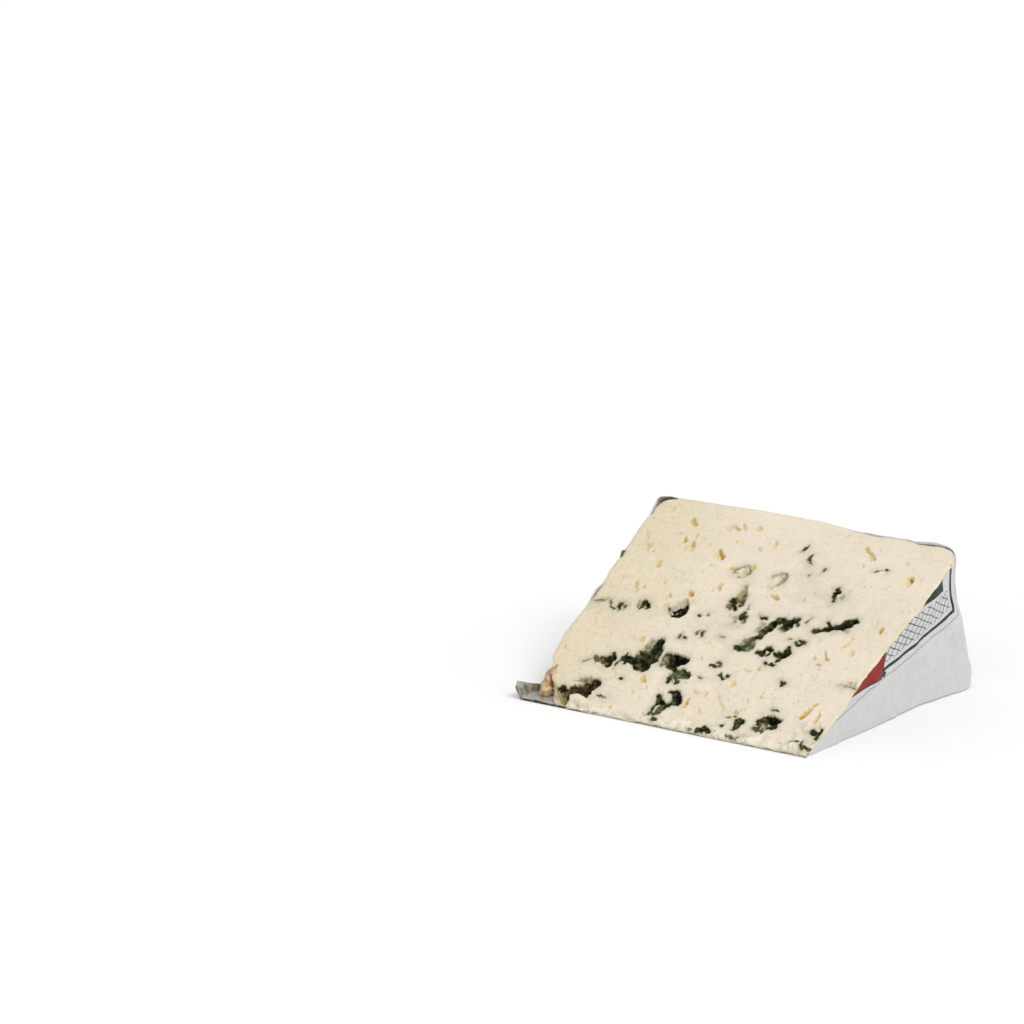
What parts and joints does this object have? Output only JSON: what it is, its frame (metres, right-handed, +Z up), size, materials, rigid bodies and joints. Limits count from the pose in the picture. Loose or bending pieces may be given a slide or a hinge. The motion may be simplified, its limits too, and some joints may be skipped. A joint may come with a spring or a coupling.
{
  "type": "blue cheese wedge",
  "caption": "Wedge of blue-veined sheep's-milk cheese, lying on its foil-covered side with the fresh cut face up.",
  "frame": {"origin": "middle of the flat foil-covered face that the wedge rests on, under the middle of its radius", "axes": "+Z up, +X along the axis of the wheel towards its printed end, +Y from the thin edge to the outer wall"},
  "size_m": [0.1112, 0.0976, 0.047],
  "materials": {
    "paste": "moist ivory cheese paste with open pockets of blue-green mould and ochre gas holes",
    "printed_foil": "creased satin foil, printed with plain green and red fields"
  },
  "bodies": {
    "root": {"cheese_paste": "paste", "foil_wrap": "printed_foil"}
  },
  "joints": []
}
